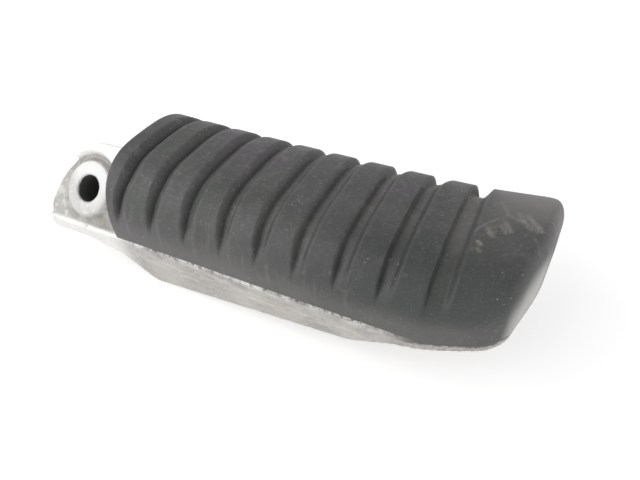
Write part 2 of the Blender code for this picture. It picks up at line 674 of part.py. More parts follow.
def build_casting():
    top = DECK_Z - GAP / 2.0
    floor = top - KEEL_DEPTH - CLEAR
    body = prism('footrest_casting', rounded_outline(casting_corners(), CASTING_OUTLINE_STEPS)[0], floor, top)
    side_view = prism('side_view', rounded_outline(keel_profile(), SIDE_VIEW_STEPS)[0],
                      TREAD_CENTRE_Y - TREAD_WIDTH, TREAD_CENTRE_Y + TREAD_WIDTH)
    swap_y_and_z = Matrix(((1.0, 0.0, 0.0, 0.0), (0.0, 0.0, 1.0, 0.0),
                           (0.0, 1.0, 0.0, 0.0), (0.0, 0.0, 0.0, 1.0)))
    place(side_view, swap_y_and_z)
    side_view.data.flip_normals()
    combine(body, side_view, 'INTERSECT')

    for low_x, high_x, low_y, high_y in cell_boxes():
        corners = [(low_x, low_y, CELL_FILLET), (high_x, low_y, CELL_FILLET),
                   (high_x, high_y, CELL_FILLET), (low_x, high_y, CELL_FILLET)]
        cell = prism('cell', rounded_outline(corners, CELL_STEPS)[0], floor - CLEAR, top - CELL_ROOF)
        combine(body, cell, 'DIFFERENCE')

    seat = top - DECK_THICKNESS
    for x, y in screw_places():
        radius = SCREW_RECESS_DIAMETER / 2.0
        recess = turned('recess', [(radius, floor - CLEAR), (radius, seat)])
        place(recess, Matrix.Translation((x, y, 0.0)))
        combine(body, recess, 'DIFFERENCE')
        pad = turned('pad', [(radius + PAD_MARGIN, seat), (radius + PAD_MARGIN, top - CLEAR)])
        place(pad, Matrix.Translation((x, y, 0.0)))
        combine(body, pad, 'UNION')

    combine(body, build_lug(), 'UNION')

    hole = THREAD_DIAMETER / 2.0 + THREAD_CLEARANCE
    for x, y in screw_places():
        drill = turned('drill', [(hole, floor), (hole, top + CLEAR)])
        place(drill, Matrix.Translation((x, y, 0.0)))
        combine(body, drill, 'DIFFERENCE')
    reach = LUG_SPAN / 2.0 + CLEAR
    bore = turned('bore', [(BORE_DIAMETER / 2.0, -reach), (BORE_DIAMETER / 2.0, reach)])
    place(bore, lug_matrix())
    combine(body, bore, 'DIFFERENCE')
    smooth_rounds(body)
    return body


def main():
    for old in list(bpy.data.objects):
        bpy.data.objects.remove(old)
    aluminium = material('cast_aluminium', (0.62, 0.61, 0.59), 0.45, 0.9)
    rubber = material('tread_rubber', (0.035, 0.036, 0.036), 0.75, 0.0)
    steel = material('zinc_plated_steel', (0.56, 0.56, 0.54), 0.35, 0.9)
    pieces = [
        (build_casting(), aluminium),
        (build_tread(), rubber),
        (build_plate(), steel),
    ]
    pieces += [(piece, steel) for piece in build_fasteners()]
    for piece, finish in pieces:
        piece.data.materials.clear()
        piece.data.materials.append(finish)


main()
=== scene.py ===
import math
from functools import reduce
from operator import mul

import bpy
import numpy as np
from mathutils import Euler, Matrix, Vector


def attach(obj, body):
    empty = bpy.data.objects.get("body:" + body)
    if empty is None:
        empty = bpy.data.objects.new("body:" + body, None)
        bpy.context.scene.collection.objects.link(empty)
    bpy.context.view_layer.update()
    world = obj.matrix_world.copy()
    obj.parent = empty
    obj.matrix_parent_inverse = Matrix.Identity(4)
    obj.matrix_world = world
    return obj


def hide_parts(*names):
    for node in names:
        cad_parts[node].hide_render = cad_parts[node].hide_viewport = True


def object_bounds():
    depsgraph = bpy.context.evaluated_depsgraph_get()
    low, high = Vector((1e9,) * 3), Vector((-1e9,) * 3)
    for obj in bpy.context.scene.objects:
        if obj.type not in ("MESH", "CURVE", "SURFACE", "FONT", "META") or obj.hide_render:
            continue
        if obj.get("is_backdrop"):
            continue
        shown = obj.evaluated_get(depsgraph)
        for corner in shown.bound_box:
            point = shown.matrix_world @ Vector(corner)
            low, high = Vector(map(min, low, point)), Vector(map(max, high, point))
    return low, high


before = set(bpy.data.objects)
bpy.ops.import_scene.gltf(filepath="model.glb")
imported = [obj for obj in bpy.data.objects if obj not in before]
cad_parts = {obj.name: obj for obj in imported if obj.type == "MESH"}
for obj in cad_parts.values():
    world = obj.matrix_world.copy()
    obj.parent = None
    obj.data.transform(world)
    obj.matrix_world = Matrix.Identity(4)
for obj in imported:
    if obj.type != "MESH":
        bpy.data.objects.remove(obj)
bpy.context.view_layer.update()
mm = 0.001
leanShare = math.sqrt(0.5)   # sine and cosine of the pivot axis, which leans 45 degrees
print("frame loaded")


# Camera, worked out from the photograph's perspective

camera = {
    "place": (118.561, -76.191, 89.893),   # mm from the pivot
    "turn": (46.2807, 4.3587, 26.4601),    # degrees about x, y and z
    "lens": 26.976, "sensor": 36.0,
    "nearest": 5.0, "farthest": 20000.0,
}


def makeCamera(values):
    data = bpy.data.cameras.new("camera")
    data.lens = values["lens"]
    data.sensor_width = values["sensor"]
    data.clip_start = values["nearest"] * mm
    data.clip_end = values["farthest"] * mm
    eye = bpy.data.objects.new("camera", data)
    bpy.context.scene.collection.objects.link(eye)
    turn = Euler([math.radians(angle) for angle in values["turn"]])
    eye.matrix_world = Matrix.LocRotScale(Vector(values["place"]) * mm, turn, None)
    bpy.context.scene.camera = eye


makeCamera(camera)


# Node maths: an expression on sockets adds its Math nodes

class Value:
    def __init__(self, shader, socket):
        self.shader = shader
        self.socket = socket

    def math(self, operation, *others):
        return self.shader.node("ShaderNodeMath", {"operation": operation}, [self, *others])

    def __add__(self, other):
        return self.math("ADD", other)

    def __sub__(self, other):
        return self.math("SUBTRACT", other)

    def __rsub__(self, other):
        return self.shader.node("ShaderNodeMath", {"operation": "SUBTRACT"}, [other, self])

    def __mul__(self, other):
        return self.math("MULTIPLY", other)

    def __truediv__(self, other):
        return self.math("DIVIDE", other)

    __radd__ = __add__
    __rmul__ = __mul__


class Shader:
    def __init__(self, name):
        self.material = bpy.data.materials.new(name)
        self.material.use_nodes = True
        self.tree = self.material.node_tree
        self.surface = self.tree.nodes["Principled BSDF"]
        place = self.node("ShaderNodeTexCoord", output="Object")
        self.place = self.node("ShaderNodeVectorMath", {"operation": "SCALE"}, {0: place, "Scale": 1.0 / mm})
        self.x, self.y, self.z = self.node("ShaderNodeSeparateXYZ", {}, [self.place], output=(0, 1, 2))

    def node(self, kind, settings=None, inputs=(), output=0):
        # one way to add any node: its type, its settings, then values or links for its sockets
        made = self.tree.nodes.new(kind)
        for name, value in (settings or {}).items():
            setattr(made, name, value)
        pairs = inputs.items() if isinstance(inputs, dict) else enumerate(inputs)
        for key, value in pairs:
            self.feed(made.inputs[key], value)
        if isinstance(output, tuple):
            return [Value(self, made.outputs[key]) for key in output]
        return Value(self, made.outputs[output])

    def feed(self, socket, value):
        if isinstance(value, Value):
            self.tree.links.new(value.socket, socket)
        else:
            socket.default_value = value

    def noise(self, scale, detail, roughness, at=(0.0, 0.0, 0.0), stretch=(1.0, 1.0, 1.0)):
        # scale is in turns per mm; a stretch above 1 makes the pattern finer along that axis
        vector = self.node("ShaderNodeMapping", {}, {0: self.place, "Location": at, "Scale": stretch})
        return self.node("ShaderNodeTexNoise", {"noise_dimensions": "3D"},
                         {0: vector, "Scale": scale, "Detail": detail, "Roughness": roughness})

    def step(self, value, low, high):
        # smooth 0 to 1 as value goes from low to high
        return self.node("ShaderNodeMapRange", {"interpolation_type": "SMOOTHSTEP"},
                         {"Value": value, "From Min": low, "From Max": high})

    def patches(self, span, noise):
        # 0 where the noise is below the span, 1 where it is above
        return self.step(self.noise(*noise), *span)

    def dots(self, scale, span):
        # one round dot in each cell, by the distance from its middle
        distance = self.node("ShaderNodeTexVoronoi", {}, {0: self.place, "Scale": scale}, "Distance")
        return self.step(distance, *span)

    def region(self, spans):
        # 1 inside a region of the piece: the product of a smooth step along each axis named
        return reduce(mul, [self.step(getattr(self, axis), *span) for axis, span in spans.items()])

    def mix(self, first, second, share):
        first, second = [(*c, 1.0) if isinstance(c, tuple) else c for c in (first, second)]
        return self.node("ShaderNodeMix", {"data_type": "RGBA", "clamp_factor": True},
                         {0: share, 6: first, 7: second}, 2)

    def paint(self, colour, share):
        # lays a colour over what is there
        self.colour = self.mix(self.colour, colour, share)

    def stroke(self, start, end, width):
        # 1 inside a straight mark seen from above, fading to its edge; start and end in mm
        run = (end[0] - start[0], end[1] - start[1])
        square = run[0] ** 2 + run[1] ** 2
        part = ((self.x - start[0]) * run[0] + (self.y - start[1]) * run[1]) / square
        part = self.node("ShaderNodeClamp", {}, {0: part})
        aside = self.x - start[0] - part * run[0]
        beside = self.y - start[1] - part * run[1]
        away = (aside * aside + beside * beside).math("SQRT")
        return self.step(away, width, 0.0)

    def bump(self, height, distance, strength, below=None):
        # distance in mm; below is another bump that this one lies on
        inputs = {"Strength": strength, "Distance": distance * mm, "Height": height}
        if below is not None:
            inputs["Normal"] = below
        return self.node("ShaderNodeBump", {}, inputs)

    def finish(self, **values):
        for name, value in values.items():
            self.feed(self.surface.inputs[name.replace("_", " ")], value)
        return self.material


def uneven(pattern, least, more):
    # a share that varies with a pattern: least + more * pattern
    return pattern * more + least


# Meshes

def meshObject(name, points, faces, sharpAngle=None):
    data = bpy.data.meshes.new(name)
    data.from_pydata(points.tolist(), [], faces)
    data.validate()
    made = bpy.data.objects.new(name, data)
    bpy.context.scene.collection.objects.link(made)
    data.shade_smooth()
    if sharpAngle is not None:
        data.set_sharp_from_angle(angle=math.radians(sharpAngle))
    return made


def gridFaces(rows, columns):
    row, column = np.meshgrid(np.arange(rows - 1), np.arange(columns - 1), indexing="ij")
    a = (row * columns + column).ravel()
    return np.stack([a, a + columns, a + columns + 1, a + 1], axis=1)


def smoothStep(value, low, high):
    part = np.clip((value - low) / (high - low), 0.0, 1.0)
    return part * part * (3.0 - 2.0 * part)


def between(first, last, part):
    return first + (last - first) * part


def roundedOutline(corners, arcSteps):
    # polyline round corners given as (x, y, radius), and the index of each arc's middle point
    points, middles = [], []
    for index, (x, y, radius) in enumerate(corners):
        corner = np.array([x, y])
        before = np.array(corners[index - 1][:2]) - corner
        after = np.array(corners[(index + 1) % len(corners)][:2]) - corner
        before, after = before / np.linalg.norm(before), after / np.linalg.norm(after)
        half = math.acos(np.clip(before @ after, -1.0, 1.0)) / 2.0
        bisector = (before + after) / np.linalg.norm(before + after)
        centre = corner + bisector * radius / math.sin(half)
        start = corner + before * radius / math.tan(half) - centre
        end = corner + after * radius / math.tan(half) - centre
        first = math.atan2(start[1], start[0])
        turn = (math.atan2(end[1], end[0]) - first + math.pi) % (2.0 * math.pi) - math.pi
        angle = first + turn * np.linspace(0.0, 1.0, arcSteps + 1)
        middles.append(len(points) + arcSteps // 2)
        points += list(centre + radius * np.stack([np.cos(angle), np.sin(angle)], axis=1))
    return np.array(points), middles


def alongLine(points, shares):
    # points at the given shares of a polyline's length
    lengths = np.concatenate([[0.0], np.cumsum(np.linalg.norm(np.diff(points, axis=0), axis=1))])
    wanted = shares * lengths[-1]
    return np.stack([np.interp(wanted, lengths, points[:, axis]) for axis in range(2)], axis=-1)


# Rubber tread

tread = {
    # plan, in mm
    "start": 14.2, "length": 113.1, "centreY": 6.1, "width": 43.0, "foot": -0.45,
    "tipSkew": 5.9, "tipBulge": 2.0, "tipLineRadius": 60.0,
    "nearTaper": 6.1, "nearTaperLength": 22.0, "nearTaperRadius": 16.0,
    "nearTipRadius": 11.5, "farTipRadius": 6.0, "cornerRadius": 0.8,
    "rollNear": 3.4, "rollFar": 1.7, "edgeRound": 1.2,
    # section: the crown at the pad and at the pivot end, the others at the pivot end and at the tip
    "crown": (16.4, 22.7), "crownFall": 1.4, "crownLevel": 96.5, "padRise": 1.9,
    "nearShoulder": (0.2, 5.0), "farShoulder": (7.4, 11.2),
    "nearPower": (0.67, 0.70), "farPower": (0.62, 0.50), "rise": 0.92,
    "grooves": 9, "firstGroove": 6.75, "pitch": 10.5, "lastWidth": 5.1,
    # groove values from the first groove to the last, at the near wall, on top and at the far shoulder
    "depth": ((2.0, 1.8), (2.2, 1.5), (0.85, 3.3)), "farDepthPower": 2.2,
    "wallRun": ((0.8, 0.85), (2.1, 0.45), (1.6, 1.6)), "lowRun": 0.35,
    "wallCurve": ((1.4, 1.1), (1.8, 1.0), (1.4, 1.7)), "slopeCurve": 1.4,
    "grooveWidth": ((3.0, 3.6), (3.4, 4.0), (4.0, 4.2)),
    "floorShare": ((0.0, 0.30), (0.0, 0.9), (0.0, 0.3)), "floorEnd": 0.50, "lastFloorEnd": 0.56,
    # where the near wall, the top and the far shoulder meet, in half turns over the arch
    "nearBlend": (0.12, 0.34), "topBlend": (0.5, 0.6), "farBlend": (0.60, 0.85),
    # heights above the foot at which a groove starts on the near wall and is full, and the depth below
    # the far shoulder at which it has run out
    "fade": (5.0, 6.1), "span": (7.4, 7.8), "farRunOut": 6.0,
    # each groove lies further out at the far shoulder, and the first ones further in on the near wall
    "farShift": (0.75, 1.4), "nearSkew": 3.4, "nearSkewEnd": 0.38, "leanBlend": (0.10, 0.36),
    "leanStart": (-0.01, 0.05), "leanEnd": (1.01, 0.95),
    # dusty floors, painted shade on the walls and painted highlights on ridge edges, read by the rubber's
    # material
    "floorSoft": (-0.1, 0.2), "rampEnd": (0.85, 0.999), "shadeReach": 1.1, "lowShade": 0.75,
    "streakWidth": 0.4, "streakTop": (13.0, 9.0), "streakFoot": (2.0, 5.0),
    "rowStep": 0.27, "columns": 150, "denseTurns": 4000, "arcSteps": 40,
    "edgeRows": 7, "flatRows": 43, "rollRows": 25, "wallSteps": 14, "sharpAngle": 55.0,
}
markNames = ("dust", "shade", "streak")


def treadSides(values):
    return values["centreY"] - values["width"] / 2.0, values["centreY"] + values["width"] / 2.0


def treadOutline(values):
    near, far = treadSides(values)
    tip = values["start"] + values["length"]
    nearTip = near + values["nearTaper"]
    corners = [
        (values["start"], near, values["cornerRadius"]),
        (tip - values["nearTaperLength"], near, values["nearTaperRadius"]),
        (tip - values["tipSkew"], nearTip, values["nearTipRadius"]),
        (tip - values["tipSkew"] / 2.0 + values["tipBulge"], (nearTip + far) / 2.0, values["tipLineRadius"]),
        (tip, far, values["farTipRadius"]),
        (values["start"], far, values["cornerRadius"]),
    ]
    return roundedOutline(corners, values["arcSteps"])


def treadSection(x, turn, values):
    # superellipse arch: side = cos^p, height = shoulder + (crown - shoulder) sin^q, all changing along x
    out = x - values["start"]
    part = np.clip(out / values["length"], 0.0, 1.0)
    left = 1.0 - np.clip(out / values["crownLevel"], 0.0, 1.0)
    past = np.clip((out - values["crownLevel"]) / (values["length"] - values["crownLevel"]), 0.0, 1.0)
    crown = between(*values["crown"], left ** values["crownFall"]) + values["padRise"] * past
    near = turn <= math.pi / 2.0
    shoulder = np.where(near, between(*values["nearShoulder"], part), between(*values["farShoulder"], part))
    power = np.where(near, between(*values["nearPower"], part), between(*values["farPower"], part))
    side = np.sign(np.cos(turn)) * np.abs(np.cos(turn)) ** power
    return side, shoulder + (crown - shoulder) * np.sin(turn).clip(0.0) ** values["rise"]


def evenTurns(values):
    # turns that are equally far apart along the middle section
    dense = np.linspace(0.0, math.pi, values["denseTurns"])
    side, height = treadSection(values["start"] + values["length"] / 2.0, dense, values)
    across = np.diff(side) * values["width"] / 2.0
    lengths = np.concatenate([[0.0], np.cumsum(np.hypot(across, np.diff(height)))])
    return np.interp(np.linspace(0.0, lengths[-1], values["columns"]), lengths, dense)


def blendedOver(turn, blend):
    return smoothStep(turn, blend[0] * math.pi, blend[1] * math.pi)


def grooveCreases(values):
    # x of the line at the foot of each groove's steep wall, on top
    first = values["start"] + values["firstGroove"]
    return [first + values["pitch"] * index for index in range(values["grooves"])]


def grooveShape(x, height, turn, values):
    # depth: (u / run)^curve down the wall to the crease, then back up a slope (1 - v)^curve or from a floor
    low = 1.0 - blendedOver(turn, values["nearBlend"])
    far = blendedOver(turn, values["farBlend"])
    shape = {name: np.zeros_like(height) for name in ("depth", *markNames)}

    def station(name, part, farPart):
        atLow, onTop, atFar = values[name]
        top = 1.0 - low - far
        return between(*atLow, part) * low + between(*onTop, part) * top + between(*atFar, farPart) * far

    for index, crease in enumerate(grooveCreases(values)):
        part = index / (values["grooves"] - 1)
        last = index == values["grooves"] - 1
        # at the far shoulder the first and the last grooves lie furthest out
        shift = (values["farShift"][0] + values["farShift"][1] * (2.0 * part - 1.0) ** 2) * far
        crease = crease + shift
        fade = np.maximum(between(*values["fade"], part), height[:, :1])
        reached = smoothStep(height, fade, fade + between(*values["span"], part))
        local = np.maximum(reached, blendedOver(turn, values["topBlend"]))
        run = station("wallRun", part, part) * between(values["lowRun"], 1.0, local)
        fall = np.clip((x - crease + run) / run, 0.0, 1.0) ** station("wallCurve", part, part)
        width = values["lastWidth"] - shift if last else station("grooveWidth", part, part)
        floorShare = 1.0 if last else station("floorShare", part, part)
        floorEnd = values["lastFloorEnd"] if last else values["floorEnd"]
        away = np.clip((x - crease) / width, 0.0, 1.0)
        slope = (1.0 - away) ** values["slopeCurve"]
        floor = 1.0 - smoothStep(away, floorEnd, 1.0)
        rise = np.where(x < crease, 1.0, between(slope, floor, floorShare))
        depth = station("depth", part, part ** values["farDepthPower"])
        shape["depth"] += depth * local * fall * rise * (away < 1.0)
        # marks: dust more on the outer grooves' floors; painted shade on the inner grooves' walls and beside
        # their creases, and on the outer grooves' ramps
        before, after = floorEnd + values["floorSoft"][0], floorEnd + values["floorSoft"][1]
        shape["dust"] += part * local * ((x >= crease) * (1.0 - smoothStep(away, before, after)))
        ramp = smoothStep(away, floorEnd, after) * (1.0 - smoothStep(away, *values["rampEnd"]))
        beside = (x >= crease) * np.exp(-((x - crease) / values["shadeReach"]) ** 2)
        shaded = ramp * part ** 2 + ((x < crease) * fall + beside) * (1.0 - part)
        shape["shade"] += (1.0 - values["lowShade"] * low) * local * shaded
        # painted highlight: a pale streak along each inner groove's far edge, low on the near wall
        edge = (x - crease - width) / values["streakWidth"]
        onWall = smoothStep(height, *values["streakTop"]) * smoothStep(height, *values["streakFoot"])
        shape["streak"] += (1.0 - part) * np.exp(-edge * edge) * low * onWall
    return shape


def grooveRows(tipStart, values):
    # x of each row, one on every crease, and how far the rounded end of the arch lies in
    start, edge = values["start"], values["edgeRound"]
    creases = grooveCreases(values)
    count = int((tipStart - start - edge) / values["rowStep"])
    steps = np.linspace(start + edge, tipStart, count)
    steps[np.abs(steps[:, None] - np.array(creases)).argmin(axis=0)] = creases
    angle = np.linspace(0.0, math.pi / 2.0, values["edgeRows"])
    x = np.concatenate([start + edge * (1.0 - np.cos(angle)), steps[1:]])
    inset = np.concatenate([edge * (1.0 - np.sin(angle)), np.zeros(count - 1)])
    return x[:, None], inset[:, None]


def groovedGrid(nearLine, turn, tipStart, values):
    # rows along x, columns over the arch; grooves push the surface in along the section's normal
    far = treadSides(values)[1]
    x, inset = grooveRows(tipStart, values)
    side, height = treadSection(x, turn[None, :], values)
    shape = grooveShape(x, height, turn[None, :], values)
    # on the near wall the first grooves lie further in, and both ends of the grooved part stay straight
    begin = values["start"] + values["edgeRound"]
    share = (x - begin) / (tipStart - begin)
    ease = smoothStep(share, *values["leanStart"]) * smoothStep(share, *values["leanEnd"])
    nearLean = values["nearSkew"] * np.clip(1.0 - share / values["nearSkewEnd"], 0.0, 1.0)
    lean = nearLean * (1.0 - blendedOver(turn, values["leanBlend"])) * ease
    near = np.interp(x, nearLine[:, 0], nearLine[:, 1])
    y = (near + far) / 2.0 - side * (far - near) / 2.0
    slopeY, slopeZ = np.gradient(y, axis=1), np.gradient(height, axis=1)
    length = np.hypot(slopeY, slopeZ)

    def pushedIn(depth):
        z = values["foot"] + height - depth * slopeY / length
        return np.stack([x - lean, y + depth * slopeZ / length, z], axis=-1)

    return pushedIn(inset + shape["depth"]), pushedIn(inset + 0.0 * height), shape


def tipGrid(nearLine, endLine, farLine, turn, tipStart, values):
    # patch between four plan curves: the blend along, plus the blend across, less the one of the corners;
    # its last rows roll over the edge by sine and cosine
    far = treadSides(values)[1]
    nearEdge = nearLine[nearLine[:, 0] > tipStart]
    nearEdge = np.vstack([[tipStart, np.interp(tipStart, nearLine[:, 0], nearLine[:, 1])], nearEdge])
    farEdge = np.vstack([[tipStart, far], farLine])
    patchLength = nearEdge[-1, 0] - tipStart
    flatSteps = [(share, 0.0) for share in np.linspace(0.0, 1.0, values["flatRows"] + 1)[1:]]
    angles = np.linspace(0.0, math.pi / 2.0, values["rollRows"] + 1)[1:]
    rows = []
    for flatShare, rolled in flatSteps + [(1.0, math.sin(angle)) for angle in angles]:
        side, height = treadSection(tipStart + flatShare * patchLength, turn, values)
        across = (1.0 - side) / 2.0
        flat = 1.0 - between(values["rollNear"], values["rollFar"], across) / patchLength
        share = (flat * flatShare + (1.0 - flat) * rolled)[:, None]
        blend = across[:, None]
        first = np.stack([np.full_like(across, tipStart), between(nearEdge[0, 1], far, across)], axis=-1)
        firstCorners = between(nearEdge[0], farEdge[0], blend)
        lastCorners = between(endLine[0], endLine[-1], blend)
        plan = between(alongLine(nearEdge, share[:, 0]), alongLine(farEdge, share[:, 0]), blend)
        plan += between(first, alongLine(endLine, across), share)
        plan -= between(firstCorners, lastCorners, share)
        keep = math.sqrt(max(0.0, 1.0 - rolled * rolled))
        shoulder = between(height[0], height[-1], across)
        rows.append(np.column_stack([plan, values["foot"] + between(shoulder, height, keep)]))
    return np.array(rows)


def treadGrid(values):
    # the grooved part and the tip, the same without grooves, and the marks, which the tip doesn't have
    outline, middles = treadOutline(values)
    nearCorner, farCorner = middles[2], middles[4]
    nearLine, endLine = outline[:nearCorner + 1], outline[nearCorner:farCorner + 1]
    farLine = outline[farCorner:farCorner + values["arcSteps"] // 2 + 1][::-1]
    turn = evenTurns(values)
    tipStart = grooveCreases(values)[-1] + values["lastWidth"]
    grooved, plain, shape = groovedGrid(nearLine, turn, tipStart, values)
    tip = tipGrid(nearLine, endLine, farLine, turn, tipStart, values)
    marks = {name: np.concatenate([shape[name], np.zeros(tip.shape[:2])]) for name in markNames}
    return np.concatenate([grooved, tip]), np.concatenate([plain, tip]), marks


def makeTread(values):
    # the arch, four walls from its rim straight down, and a flat foot
    grid, plain, marks = treadGrid(values)
    rowCount, columnCount = grid.shape[:2]
    index = np.arange(rowCount * columnCount).reshape(rowCount, columnCount)
    rim = np.concatenate([index[:, 0], index[-1, 1:-1], index[::-1, -1], index[0, -2:0:-1]])
    points, wallSteps = grid.reshape(-1, 3), values["wallSteps"]
    drop = np.linspace(0.0, 1.0, wallSteps + 1)[1:, None]
    walls = np.repeat(points[rim][None], wallSteps, axis=0)
    walls[:, :, 2] = between(points[rim, 2], values["foot"], drop)
    # grooves that reach the rim run out on the wall below it
    kept = 1.0 - smoothStep(points[rim, 2] - walls[:, :, 2], 0.0, values["farRunOut"])
    walls[:, :, :2] = between(plain.reshape(-1, 3)[rim, :2], points[rim, :2], kept[:, :, None])
    rings = np.vstack([rim, len(points) + np.arange(wallSteps * len(rim)).reshape(wallSteps, -1)])
    after = np.roll(rings, -1, axis=1)
    faces = gridFaces(rowCount, columnCount).tolist()
    faces += np.stack([rings[:-1], rings[1:], after[1:], after[:-1]], axis=-1).reshape(-1, 4).tolist()
    faces.append(rings[-1][::-1].tolist())
    points = np.concatenate([points, walls.reshape(-1, 3)]) * mm
    made = meshObject("treadSkin", points, faces, values["sharpAngle"])
    for name, share in marks.items():
        layer = made.data.attributes.new(name, "FLOAT", "POINT")
        onWalls = np.tile(share.ravel()[rim], wallSteps)
        layer.data.foreach_set("value", np.concatenate([share.ravel(), onWalls]).astype(np.float32))
    return made


treadSkin = makeTread(tread)
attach(treadSkin, "root")
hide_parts("tread_rubber")
print("tread made")


# Die-cast footrest

casting = {
    # the lug's nose, in mm on the plane square to the pivot: x, and u along the lug's lean
    "noseLine": [(-15.3, -9.5), (-15.0, -7.5), (-14.2, -3.4), (-13.1, 0.4), (-11.6, 3.6),
                 (-9.1, 6.8), (-6.4, 10.0), (-3.4, 12.9), (-0.5, 14.5)],
    "noseReach": 16.0, "noseMargin": 8.0,
    "weld": 0.001, "voxel": 0.52, "smoothing": 4, "smoothFactor": 0.5,
}


def lugPoints(outline, height):
    # an outline on the lug, moved by height along the pivot axis
    outline = np.array(outline)
    u = outline[:, 1]
    return np.stack([outline[:, 0], (u - height) * leanShare, (u + height) * leanShare], axis=1)


def makeNoseCutter(values):
    line, margin = values["noseLine"], values["noseMargin"]
    left, top = line[0][0] - margin, line[-1][1] + margin
    outline = [*line, (line[-1][0], top), (left, top), (left, line[0][1])]
    count = len(outline)
    points = np.concatenate([lugPoints(outline, side * values["noseReach"]) for side in (-1.0, 1.0)])
    around = [(i, (i + 1) % count, count + (i + 1) % count, count + i) for i in range(count)]
    faces = [tuple(range(count))[::-1], tuple(range(count, 2 * count)), *around]
    return meshObject("noseCutter", points * mm, faces)


def modifier(made, kind, **settings):
    added = made.modifiers.new(kind.lower(), kind)
    for name, value in settings.items():
        setattr(added, name, value)


def makeCasting(values):
    # the CAD casting with its nose drawn in, then every edge rounded as a mould leaves it
    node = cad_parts["footrest_casting"]
    data = node.data.copy()
    data.transform(node.matrix_world)
    made = bpy.data.objects.new("castBody", data)
    bpy.context.scene.collection.objects.link(made)
    cutter = makeNoseCutter(values)
    modifier(made, "WELD", merge_threshold=values["weld"] * mm)
    modifier(made, "BOOLEAN", operation="DIFFERENCE", object=cutter, solver="EXACT")
    modifier(made, "REMESH", mode="VOXEL", voxel_size=values["voxel"] * mm, use_smooth_shade=True)
    modifier(made, "SMOOTH", factor=values["smoothFactor"], iterations=values["smoothing"])
    finished = bpy.data.meshes.new_from_object(made.evaluated_get(bpy.context.evaluated_depsgraph_get()))
    made.modifiers.clear()
    made.data = finished
    bpy.data.objects.remove(cutter)
    return made


castBody = makeCasting(casting)
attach(castBody, "root")
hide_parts("footrest_casting")
print("casting made", len(castBody.data.polygons))


# Finishes. A noise is its turns per mm, detail and roughness, then its shift and its stretch.
# Patches are the noise values at which they start and are full, then their noise. A part is where it
# starts and is full along each axis, in mm. A share of two numbers is its least and what a noise adds.

